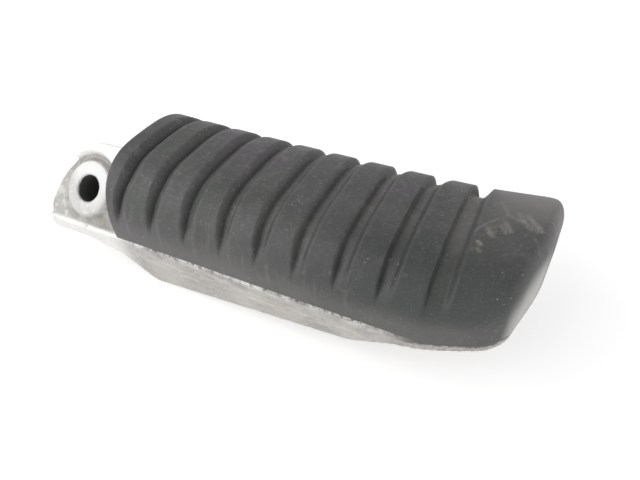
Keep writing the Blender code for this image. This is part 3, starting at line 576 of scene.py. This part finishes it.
rubberLook = {
    "dark": (0.058, 0.060, 0.058), "light": (0.092, 0.093, 0.090),
    "violet": (0.092, 0.080, 0.094), "green": (0.062, 0.074, 0.062), "bottle": (0.040, 0.048, 0.043),
    "dust": (0.30, 0.29, 0.27), "haze": (0.175, 0.162, 0.163), "deep": (0.040, 0.041, 0.040),
    "wearAndHighlight": (0.40, 0.385, 0.36), "pale": (0.235, 0.222, 0.190),
    "speck": (0.62, 0.62, 0.59), "scuff": (0.30, 0.285, 0.25),
    # moulded colour
    "cloud": (0.055, 4.0, 0.6, (3.0, 8.0, 0.0)), "mottle": (0.45, 5.0, 0.65), "grain": (2.2, 4.0, 0.6),
    "toneSpan": (0.34, 0.66), "cloudShare": 0.6,
    "violetPatches": ((0.48, 0.68), (0.04, 2.0, 0.55, (40.0, 0.0, 9.0))), "violetShare": 0.55,
    "greenPatches": ((0.50, 0.70), (0.05, 2.0, 0.55, (0.0, 70.0, 0.0))), "greenShare": 0.55,
    # dust and handling marks
    "wallPart": {"y": (-8.0, -14.5)}, "footPart": {"z": (9.0, 2.0)}, "footShare": (0.10, 0.12),
    "dustPatches": ((0.52, 0.80), (0.16, 6.0, 0.72, (9.0, 1.0, 4.0))), "dustShare": 0.12,
    "streakPatches": ((0.56, 0.78), (0.55, 3.0, 0.6, (0.0, 0.0, 0.0), (1.0, 0.20, 0.14))),
    "streakShare": 0.22,
    "hazePatches": ((0.52, 0.66), (0.26, 6.0, 0.8, (30.0, 4.0, 7.0))), "hazeShare": 0.48,
    "shoulderPart": {"y": (-3.0, -9.0), "z": (3.0, 8.0)},
    "handledPatches": ((0.54, 0.72), (0.5, 5.0, 0.78, (2.0, 5.0, 1.0))), "handledShare": 0.32,
    "smudgePatches": ((0.58, 0.72), (0.22, 5.0, 0.7, (14.0, 2.0, 6.0))), "smudgeShare": 0.35,
    "fleckPatches": ((0.54, 0.68), (0.9, 5.0, 0.8, (1.0, 2.0, 3.0))), "fleckPatchShare": 0.34,
    # grooves, read from the tread's marks: dust, painted shade and painted highlights
    "dustyShare": (0.08, 0.30), "shadedShare": 0.6, "highlightStreakShare": (0.06, 0.14),
    # the end face is found by the way it looks: outwards and not up; it gets a painted pale sheen
    "endPart": {"outward": (0.74, 0.90), "upward": (0.30, 0.04), "x": (110.0, 116.0), "y": (13.0, 4.0)},
    "endSheenShare": (0.60, 0.45), "endCoat": 0.8, "coatRoughness": 0.30, "endPolish": 0.1,
    # the outer ridges and the pad, with a painted sheen on the pad's far corner
    "greenerPart": {"x": (66.0, 100.0), "y": (8.0, -6.0), "z": (4.0, 9.0)}, "greenerShare": (0.48, 0.5),
    "padPart": {"x": (108.0, 114.0), "y": (8.0, 22.0)}, "padShare": (0.48, 0.6),
    "cornerPart": {"x": (111.0, 122.0), "y": (7.0, 20.0)}, "cornerShare": (0.12, 0.22),
    # scuffs on the tip's pad: start, end, half width and strength, in mm seen from above
    "scuffs": [
        ((112.8, 18.2), (115.2, 13.8), 0.75, 0.40), ((115.0, 13.7), (117.7, 12.2), 0.70, 0.38),
        ((114.6, 9.6), (115.8, 7.3), 0.85, 0.45), ((115.1, 10.8), (116.8, 8.0), 0.85, 0.55),
        ((119.3, 14.1), (122.4, 9.9), 1.15, 0.70), ((117.3, 14.6), (118.5, 12.2), 1.00, 0.50),
        ((118.4, 12.4), (120.5, 10.0), 1.00, 0.55), ((110.9, 3.2), (111.5, 2.5), 0.75, 0.95),
        ((111.2, 1.0), (111.8, 0.3), 0.65, 0.85), ((111.9, 7.8), (113.3, 5.6), 1.00, 0.50),
        ((109.6, 6.3), (111.0, 9.2), 0.40, 0.40), ((111.0, 9.2), (113.6, 12.1), 0.40, 0.40),
        ((124.1, 14.0), (125.9, 14.1), 0.40, 0.50), ((121.6, 7.0), (123.4, 4.2), 0.50, 0.25),
    ],
    "scuffPatches": ((0.38, 0.62), (2.4, 4.0, 0.7, (0.0, 0.0, 0.0), (1.0, 0.35, 1.0))),
    "scuffShare": (0.45, 0.55), "scuffWidth": 1.1, "scuffStrength": 1.05,
    # specks: cells per mm, then how far from a cell's middle the dot starts and is full
    "specks": (0.55, (0.10, 0.04)), "speckShare": 0.6, "flecks": (1.3, (0.09, 0.03)), "fleckShare": 0.45,
    "speckPatches": ((0.46, 0.60), (0.10, 2.0, 0.55, (5.0, 5.0, 5.0))), "fleckDust": (0.1, 0.6),
    "grainSpan": (0.50, 0.72), "grainShare": 0.22,
    # bumps are their height in mm and their strength
    "grainBump": (0.05, 0.5), "mottleBump": (0.10, 0.6),
    "roughness": 0.50, "mottleRoughness": 0.25, "dustRoughness": 0.2,
}


def rubberColour(shader, look, cloud, mottle):
    tone = cloud * look["cloudShare"] + mottle * (1.0 - look["cloudShare"])
    shader.colour = shader.mix(look["dark"], look["light"], shader.step(tone, *look["toneSpan"]))
    for name in ("violet", "green"):
        shader.paint(look[name], shader.patches(*look[name + "Patches"]) * look[name + "Share"])


def rubberDust(shader, look, mottle):
    # broad patches, upright streaks on the near wall and a paler foot, then marks from handling
    dust = shader.patches(*look["dustPatches"])
    wall = shader.region(look["wallPart"])
    streak = shader.patches(*look["streakPatches"]) * wall
    foot = wall * shader.region(look["footPart"])
    shader.paint(look["dust"], dust * look["dustShare"] + streak * look["streakShare"]
                 + foot * uneven(mottle, *look["footShare"]))
    shader.paint(look["haze"], shader.patches(*look["hazePatches"]) * (1.0 - wall) * look["hazeShare"])
    handled = shader.region(look["shoulderPart"]) * shader.patches(*look["handledPatches"])
    shader.paint(look["dust"], handled * look["handledShare"])
    shader.paint(look["deep"], shader.patches(*look["smudgePatches"]) * look["smudgeShare"])
    shader.paint(look["dust"], shader.patches(*look["fleckPatches"]) * (1.0 - wall) * look["fleckPatchShare"])
    return dust


def rubberGrooves(shader, look, mottle):
    # dust lies on the floors of the outer grooves, painted shade darkens the walls and painted highlights
    # make some ridge edges pale
    dusty, shaded, paintedHighlight = [shader.node("ShaderNodeAttribute", {"attribute_name": name}, {}, 2)
                               for name in markNames]
    shader.paint(look["dust"], dusty * uneven(mottle, *look["dustyShare"]))
    # painted shade: the groove walls and creases are darkened
    shader.paint(look["deep"], shaded * look["shadedShare"])
    # painted highlight: pale streaks on the ridge edges of the near wall
    shader.paint(look["wearAndHighlight"], paintedHighlight * uneven(mottle, *look["highlightStreakShare"]))


def rubberEndSheen(shader, look, mottle):
    facing = shader.node("ShaderNodeTexCoord", output="Normal")
    shader.outward, shader.upward = shader.node("ShaderNodeSeparateXYZ", {}, [facing], output=(0, 2))
    end = shader.region(look["endPart"])
    # painted sheen: the end face is made pale, standing in for the bright reflection seen on it at a grazing
    # angle
    shader.paint(look["pale"], end * uneven(mottle, *look["endSheenShare"]))
    return end


def rubberPad(shader, look, cloud, mottle):
    # scuffs; the pad and the outer ridges are darker and greener towards the near side, hazy on the far one,
    # with a painted sheen on its far corner
    patchy = uneven(shader.patches(*look["scuffPatches"]), *look["scuffShare"])
    for start, end, width, strength in look["scuffs"]:
        mark = shader.stroke(start, end, look["scuffWidth"] * width)
        shader.paint(look["scuff"], mark * patchy * strength * look["scuffStrength"])
    shader.paint(look["bottle"], shader.region(look["greenerPart"]) * uneven(cloud, *look["greenerShare"]))
    shader.paint(look["haze"], shader.region(look["padPart"]) * uneven(mottle, *look["padShare"]))
    # painted sheen: the pad's far corner is lightened in the dust colour
    shader.paint(look["dust"], shader.region(look["cornerPart"]) * uneven(mottle, *look["cornerShare"]))


def rubberSpecks(shader, look, dust, grain):
    speck = shader.dots(*look["specks"]) * shader.patches(*look["speckPatches"])
    fleck = shader.dots(*look["flecks"]) * shader.step(dust, *look["fleckDust"])
    shader.paint(look["speck"], speck * look["speckShare"] + fleck * look["fleckShare"])
    shader.paint(look["haze"], shader.step(grain, *look["grainSpan"]) * look["grainShare"])


def rubberMaterial(look):
    shader = Shader("mouldedRubber")
    cloud, mottle, grain = [shader.noise(*look[name]) for name in ("cloud", "mottle", "grain")]
    rubberColour(shader, look, cloud, mottle)
    dust = rubberDust(shader, look, mottle)
    rubberGrooves(shader, look, mottle)
    end = rubberEndSheen(shader, look, mottle)
    rubberPad(shader, look, cloud, mottle)
    rubberSpecks(shader, look, dust, grain)
    bump = shader.bump(mottle, *look["mottleBump"], shader.bump(grain, *look["grainBump"]))
    roughness = look["roughness"] + (mottle - 0.5) * look["mottleRoughness"] + dust * look["dustRoughness"]
    return shader.finish(Base_Color=shader.colour, Roughness=roughness - end * look["endPolish"], Normal=bump,
                         Coat_Weight=end * look["endCoat"], Coat_Roughness=look["coatRoughness"])


aluminiumLook = {
    "metal": (0.53, 0.51, 0.48), "stain": (0.34, 0.32, 0.31), "pale": (0.67, 0.65, 0.62),
    "wearAndHighlight": (0.94, 0.93, 0.91), "machined": (0.72, 0.72, 0.71), "wearAndShade": (0.44, 0.425, 0.41),
    "slab": (0.40, 0.39, 0.375), "shade": (0.20, 0.19, 0.165), "bore": (0.115, 0.12, 0.11),
    "violet": (0.30, 0.28, 0.30), "dirt": (0.12, 0.115, 0.105),
    # cast colour, with pale drawn bands and scratches along the peg
    "cloud": (0.10, 5.0, 0.65), "fine": (0.9, 6.0, 0.75), "swell": (0.35, 3.0, 0.6),
    "drawn": (0.30, 6.0, 0.75, (7.0, 3.0, 1.0), (0.25, 1.0, 1.6)),
    "scratches": (1.6, 4.0, 0.7, (2.0, 0.0, 5.0), (0.10, 1.0, 1.2)),
    "cloudShare": 0.55, "stainSpan": (0.45, 0.68), "stainShare": 0.8,
    "drawnSpan": (0.50, 0.70), "drawnShare": 0.75,
    "brightScratch": (0.60, 0.74), "brightShare": 0.40, "darkScratch": (0.44, 0.32), "darkShare": 0.45,
    # the near side, with painted light beside the lug
    "sidePart": {"y": (-13.6, -14.8)},
    "violetPart": {"z": (-5.5, -2.0)}, "violetShare": (0.4, 0.6),
    "violetPatches": ((0.48, 0.60), (0.14, 5.0, 0.75, (3.0, 2.0, 8.0), (0.6, 1.0, 1.0))),
    "rimPart": {"z": (-3.4, -1.2)}, "rimSpan": (0.40, 0.56), "rimShare": 0.6,
    "rimPatches": ((0.46, 0.56), (0.16, 5.0, 0.75, (8.0, 1.0, 0.0))),
    "besideLug": {"x": (22.0, 10.0)}, "besideShare": (0.50, 0.45),
    "chipPart": {"z": (-2.2, -1.0), "x": (20.0, 30.0)}, "chipShare": 0.8,
    "chipPatches": ((0.52, 0.60), (0.70, 4.0, 0.7, (1.0, 9.0, 3.0))),
    "dentPart": {"z": (-6.0, -1.5)}, "dentPatches": ((0.60, 0.70), (0.42, 5.0, 0.8, (6.0, 0.0, 2.0))),
    "dentShare": 0.65,
    # the rim under the tip
    "tipPart": {"x": (94.0, 106.0), "z": (-7.5, -6.0)}, "tipSpan": (0.45, 0.55), "tipShare": 0.7,
    "tipLine": (-2.0, -1.2), "tipLineWaver": 2.0, "tipLineShare": 0.95,
    # the lug, by the distance along the pivot axis, up the lug's slope, and from the axis; painted shade and
    # a painted highlight on it
    "lugPart": {"x": (14.0, 12.0), "along": (7.6, 8.6)}, "slabShare": (0.55, 0.45),
    "blotchPatches": ((0.45, 0.58), (0.20, 5.0, 0.7, (2.0, 6.0, 1.0))), "blotchShare": 0.75,
    "cornerPart": {"x": (1.0, 7.0), "slope": (-5.0, -8.0)}, "cornerShare": 0.65,
    "ringInside": {"radius": (8.6, 9.4)}, "ringOutside": {"radius": (12.0, 10.4), "along": (10.9, 9.8)},
    "ringShare": (0.10, 0.4),
    "browPart": {"along": (9.6, 10.6), "radius": (9.4, 10.2)},
    "facePart": {"along": (10.1, 10.6), "radius": (8.7, 7.9)},
    "wornPatches": ((0.30, 0.50), (0.32, 5.0, 0.7, (4.0, 4.0, 0.0))), "shadeSpan": (2.0, -5.0),
    "shadeSkew": 0.7, "wornShare": (0.40, 0.45),
    "treadSide": {"x": (3.0, 8.0), "slope": (4.0, -4.0)}, "treadSideShare": (0.45, 0.5),
    "borePart": {"radius": (4.2, 4.0)},
    "pits": (0.75, (0.16, 0.06)), "pitSpan": (0.45, 0.6), "pitShare": 0.6,
    "swellBump": (0.25, 0.45), "fineBump": (0.12, 0.6), "pitBump": (0.14, 0.7),
    "roughness": 0.50, "fineRoughness": 0.3, "facePolish": 0.08, "boreRoughness": 0.3,
    "metallic": 0.70, "lugMetallicLoss": 0.25,
}


def castColour(shader, look, fine, drawn):
    tone = shader.noise(*look["cloud"]) * look["cloudShare"] + fine * (1.0 - look["cloudShare"])
    stained = shader.step(tone, *look["stainSpan"]) * look["stainShare"]
    shader.colour = shader.mix(look["metal"], look["stain"], stained)
    shader.paint(look["pale"], shader.step(drawn, *look["drawnSpan"]) * look["drawnShare"])
    scratches = shader.noise(*look["scratches"])
    shader.paint(look["wearAndHighlight"], shader.step(scratches, *look["brightScratch"]) * look["brightShare"])
    shader.paint(look["stain"], shader.step(scratches, *look["darkScratch"]) * look["darkShare"])


def castSide(shader, look, fine):
    # violet stains, bright patches along the rim that are partly wear and partly painted highlight, painted
    # light beside the lug, with dirt caught under the rubber and in dents
    side = shader.region(look["sidePart"])
    violet = side * shader.region(look["violetPart"]) * shader.patches(*look["violetPatches"])
    shader.paint(look["violet"], violet * uneven(fine, *look["violetShare"]))
    # bright patches along the rim: partly wear, partly painted highlight
    rim = side * shader.region(look["rimPart"]) * shader.patches(*look["rimPatches"])
    shader.paint(look["wearAndHighlight"], rim * shader.step(fine, *look["rimSpan"]) * look["rimShare"])
    # painted light: the side is brightened towards the lug, where the light falls strongest
    shader.paint(look["wearAndHighlight"], side * shader.region(look["besideLug"]) * uneven(fine, *look["besideShare"]))
    chips = side * shader.region(look["chipPart"]) * shader.patches(*look["chipPatches"])
    dents = side * shader.region(look["dentPart"]) * shader.patches(*look["dentPatches"])
    shader.paint(look["dirt"], (chips * look["chipShare"]).math("MAXIMUM", dents * look["dentShare"]))
    return side, dents


def castTip(shader, look, fine, drawn):
    # mottled, with a dark line below the rubber
    tip = shader.region(look["tipPart"])
    shader.paint(look["stain"], tip * shader.step((drawn + fine) * 0.5, *look["tipSpan"]) * look["tipShare"])
    line = shader.step(shader.z + fine * look["tipLineWaver"], *look["tipLine"])
    shader.paint(look["dirt"], tip * line * look["tipLineShare"])


def castLug(shader, look, fine, side):
    # a dull slab with painted shade in the groove round the boss and in the corner by the tread, and a
    # painted highlight on the brow above it
    shader.along = (shader.z - shader.y).math("ABSOLUTE") * leanShare
    shader.slope = (shader.y + shader.z) * leanShare
    shader.radius = (shader.x * shader.x + shader.slope * shader.slope).math("SQRT")
    lug = shader.region(look["lugPart"]) * (1.0 - side)
    shader.paint(look["slab"], lug * uneven(fine, *look["slabShare"]))
    shader.paint(look["pale"], lug * shader.patches(*look["blotchPatches"]) * look["blotchShare"])
    # painted shade in the corner between the boss and the tread
    shader.paint(look["shade"], lug * shader.region(look["cornerPart"]) * look["cornerShare"])
    ring = lug * shader.region(look["ringInside"]) * shader.region(look["ringOutside"])
    # painted shade on the recess wall round the boss
    shader.paint(look["shade"], ring * uneven(fine, *look["ringShare"]))
    # painted highlight on the brow's top face
    shader.paint(look["wearAndHighlight"], lug * shader.region(look["browPart"]))
    return lug


def castBoss(shader, look, fine):
    # a machined face, with patches low down and to the left that are partly wear and partly painted shade,
    # painted shade towards the tread, and painted shade in the bore
    face = shader.region(look["facePart"])
    shader.paint(look["machined"], face)
    # patches darkened low down and to the left: partly wear, partly painted shade
    low = shader.step(shader.slope + shader.x * look["shadeSkew"], *look["shadeSpan"])
    wearAndShade = face * low * shader.patches(*look["wornPatches"])
    shader.paint(look["wearAndShade"], wearAndShade * uneven(fine, *look["wornShare"]))
    # painted shade beside the tread, where the rubber's shadow falls on the face
    besideTread = face * shader.region(look["treadSide"])
    shader.paint(look["wearAndShade"], besideTread * uneven(fine, *look["treadSideShare"]))
    # painted shade: the bore's inside is darkened
    bore = shader.region(look["borePart"])
    shader.paint(look["bore"], bore)
    return face, bore


def aluminiumMaterial(look):
    shader = Shader("castAluminium")
    fine, drawn, swell = [shader.noise(*look[name]) for name in ("fine", "drawn", "swell")]
    castColour(shader, look, fine, drawn)
    side, dents = castSide(shader, look, fine)
    castTip(shader, look, fine, drawn)
    lug = castLug(shader, look, fine, side)
    face, bore = castBoss(shader, look, fine)
    pits = shader.dots(*look["pits"]) * shader.step(fine, *look["pitSpan"])
    shader.paint(look["dirt"], pits * look["pitShare"] * (1.0 - face))
    bump = shader.bump(fine, *look["fineBump"], shader.bump(swell, *look["swellBump"]))
    bump = shader.bump(1.0 - pits.math("MAXIMUM", dents), *look["pitBump"], bump)
    roughness = look["roughness"] + (fine - 0.5) * look["fineRoughness"]
    roughness = roughness - face * look["facePolish"] + bore * look["boreRoughness"]
    metallic = look["metallic"] - lug * look["lugMetallicLoss"]
    return shader.finish(Base_Color=shader.colour, Roughness=roughness, Metallic=metallic, Normal=bump)


steelLook = {
    "zinc": (0.62, 0.62, 0.60), "dull": (0.40, 0.39, 0.37),
    "cloud": (0.5, 4.0, 0.6), "dullSpan": (0.4, 0.7), "grain": (3.0, 3.0, 0.55), "grainBump": (0.03, 0.5),
    "roughness": 0.36, "cloudRoughness": 0.3, "metallic": 0.9,
}


def steelMaterial(look):
    shader = Shader("zincPlate")
    cloud = shader.noise(*look["cloud"])
    colour = shader.mix(look["zinc"], look["dull"], shader.step(cloud, *look["dullSpan"]))
    roughness = look["roughness"] + (cloud - 0.5) * look["cloudRoughness"]
    bump = shader.bump(shader.noise(*look["grain"]), *look["grainBump"])
    return shader.finish(Base_Color=colour, Roughness=roughness, Metallic=look["metallic"], Normal=bump)


def dress(made, material):
    made.data.materials.clear()
    made.data.materials.append(material)


castAluminium = aluminiumMaterial(aluminiumLook)
mouldedRubber = rubberMaterial(rubberLook)
zincPlate = steelMaterial(steelLook)
dress(treadSkin, mouldedRubber)
dress(castBody, castAluminium)
nodeFinish = {"footrest_casting": castAluminium, "tread_rubber": mouldedRubber}
for name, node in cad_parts.items():
    dress(node, nodeFinish.get(name, zincPlate))
print("finishes made")


# Studio

studio = {
    "floorGap": 0.4, "floorSize": 6000.0, "floorWhite": 0.74, "floorLift": 0.50, "floorRoughness": 0.9,
    "skySpan": (0.05, 0.9), "horizon": 1.10, "zenith": 0.45,
    "keyPower": 2.6, "keySize": 900.0, "keyPlace": (-420.0, -330.0, 480.0), "keyAim": (50.0, 0.0, 0.0),
}


def makeFloor(values):
    # the floor keeps its shadow; for the camera and for reflections it is lifted towards white
    size = values["floorSize"] * mm
    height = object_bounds()[0].z - values["floorGap"] * mm
    corners = [(x * size, y * size, height) for x, y in ((-1, -1), (1, -1), (1, 1), (-1, 1))]
    floor = meshObject("floor", np.array(corners), [(0, 1, 2, 3)])
    shader = Shader("whiteFloor")
    white, roughness = (values["floorWhite"],) * 3 + (1.0,), values["floorRoughness"]
    shader.finish(Base_Color=white, Roughness=roughness)
    lifted = shader.node("ShaderNodeBsdfPrincipled", {}, {
        "Base Color": white, "Roughness": roughness, "Emission Color": (1.0, 1.0, 1.0, 1.0),
        "Emission Strength": values["floorLift"]})
    camera, glossy, through = shader.node("ShaderNodeLightPath", {}, {},
                                          output=("Is Camera Ray", "Is Glossy Ray", "Is Transmission Ray"))
    seen = camera.math("MAXIMUM", glossy).math("MAXIMUM", through)
    plain = Value(shader, shader.surface.outputs[0])
    mixed = shader.node("ShaderNodeMixShader", {}, [seen, plain, lifted])
    shader.feed(shader.tree.nodes["Material Output"].inputs["Surface"], mixed)
    dress(floor, shader.material)
    floor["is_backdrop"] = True


def makeSky(values):
    # brightest at the horizon, falling to the zenith
    world = bpy.data.worlds.new("studio")
    bpy.context.scene.world = world
    world.use_nodes = True
    tree = world.node_tree
    place = tree.nodes.new("ShaderNodeTexCoord")
    split = tree.nodes.new("ShaderNodeSeparateXYZ")
    fall = tree.nodes.new("ShaderNodeMapRange")
    fall.interpolation_type = "SMOOTHSTEP"
    ends = (*values["skySpan"], values["horizon"], values["zenith"])
    for name, value in zip(("From Min", "From Max", "To Min", "To Max"), ends):
        fall.inputs[name].default_value = value
    tree.links.new(place.outputs["Generated"], split.inputs[0])
    tree.links.new(split.outputs["Z"], fall.inputs["Value"])
    tree.links.new(fall.outputs[0], tree.nodes["Background"].inputs["Color"])


def makeKey(values):
    lamp = bpy.data.lights.new("key", "AREA")
    lamp.energy = values["keyPower"]
    lamp.shape = "DISK"
    lamp.size = values["keySize"] * mm
    key = bpy.data.objects.new("key", lamp)
    key.location = np.array(values["keyPlace"]) * mm
    key.rotation_mode = "QUATERNION"
    key.rotation_quaternion = (Vector(values["keyAim"]) * mm - key.location).to_track_quat("-Z", "Y")
    bpy.context.scene.collection.objects.link(key)


makeFloor(studio)
makeSky(studio)
makeKey(studio)
bpy.context.scene.view_settings.view_transform = "Standard"
print("studio made")
